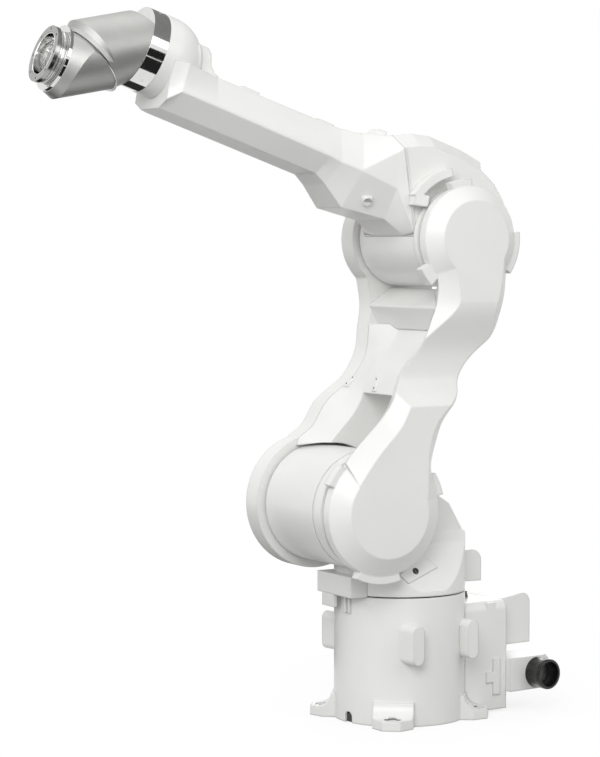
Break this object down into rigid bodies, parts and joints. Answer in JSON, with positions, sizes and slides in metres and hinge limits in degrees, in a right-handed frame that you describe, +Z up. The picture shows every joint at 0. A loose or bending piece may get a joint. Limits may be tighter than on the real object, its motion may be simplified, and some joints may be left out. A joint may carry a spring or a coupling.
{
  "type": "six-axis robot arm",
  "caption": "White six-axis industrial robot arm on a round floor base, with a hollow three-roll wrist and a bolted tool flange.",
  "frame": {"origin": "on the floor face of the base, on the axis of the first joint", "axes": "+Z up along the first joint's axis; +X forward in the plane of the arm as shown, towards the tool flange; +Y towards the robot's left; the base's own features are turned 9 degrees about +Z from the arm"},
  "size_m": [1.1855, 0.37, 1.4811],
  "materials": {
    "white_paint": "satin",
    "satin_metal": "satin",
    "polished_metal": "polished",
    "dark_steel": "satin",
    "black_plastic": "matte"
  },
  "bodies": {
    "base": {"base_column": "white_paint", "stop_rail": "white_paint", "rear_junction_box": "white_paint", "box_side_pad": "white_paint", "rear_cover": "white_paint", "connector_block": "white_paint", "conduit_collar": "black_plastic", "air_fittings": "dark_steel"},
    "swivel": {"swivel_turret": "white_paint", "shoulder_drum": "white_paint", "shoulder_drive_flange": "white_paint", "front_block": "white_paint", "stop_dog": "white_paint", "swivel_rear_cover": "white_paint", "access_panel": "white_paint", "panel_screw": "dark_steel"},
    "lower_arm": {"far_side_plate": "white_paint", "near_side_casing": "white_paint", "arm_web": "white_paint", "arm_crossbar": "white_paint", "far_shoulder_cap": "white_paint", "far_elbow_cap": "white_paint"},
    "upper_arm": {"elbow_drum": "white_paint", "elbow_drive_flange": "white_paint", "elbow_housing": "white_paint", "forearm_casing": "white_paint", "wrist_dome": "white_paint", "dome_rear_block": "white_paint", "forearm_top_lids": "white_paint", "top_bracket": "white_paint", "elbow_stop_bracket": "white_paint"},
    "wrist_roll": {"drive_ring": "polished_metal", "roll_housing": "satin_metal"},
    "wrist_bend": {"seam_ring": "dark_steel", "bend_housing": "satin_metal", "neck_ring": "polished_metal"},
    "tool_plate": {"tool_flange": "satin_metal"}
  },
  "joints": [
    {"name": "base_swivel", "type": "hinge", "parent": "base", "child": "swivel", "pos_m": [0, 0, 0.2698], "axis": [0, 0, 1], "range_deg": [-150, 150]},
    {"name": "shoulder", "type": "hinge", "parent": "swivel", "child": "lower_arm", "pos_m": [0.131, 0, 0.455], "axis": [0, 1, 0], "range_deg": [-25, 95]},
    {"name": "elbow", "type": "hinge", "parent": "lower_arm", "child": "upper_arm", "pos_m": [-0.0765, 0, 1.019], "axis": [0, 1, 0], "range_deg": [-85, 40]},
    {"name": "wrist_roll", "type": "hinge", "parent": "upper_arm", "child": "wrist_roll", "pos_m": [0.60504, 0, 1.39647], "axis": [0.9438, 0, 0.3305], "range_deg": [-360, 360]},
    {"name": "wrist_bend", "type": "hinge", "parent": "wrist_roll", "child": "wrist_bend", "pos_m": [0.71739, 0, 1.36837], "axis": [0.7581, 0, -0.6521], "range_deg": [-360, 360]},
    {"name": "flange_spin", "type": "hinge", "parent": "wrist_bend", "child": "tool_plate", "pos_m": [0.79561, 0, 1.37329], "axis": [0.9438, 0, 0.3305], "range_deg": [-360, 360]}
  ]
}
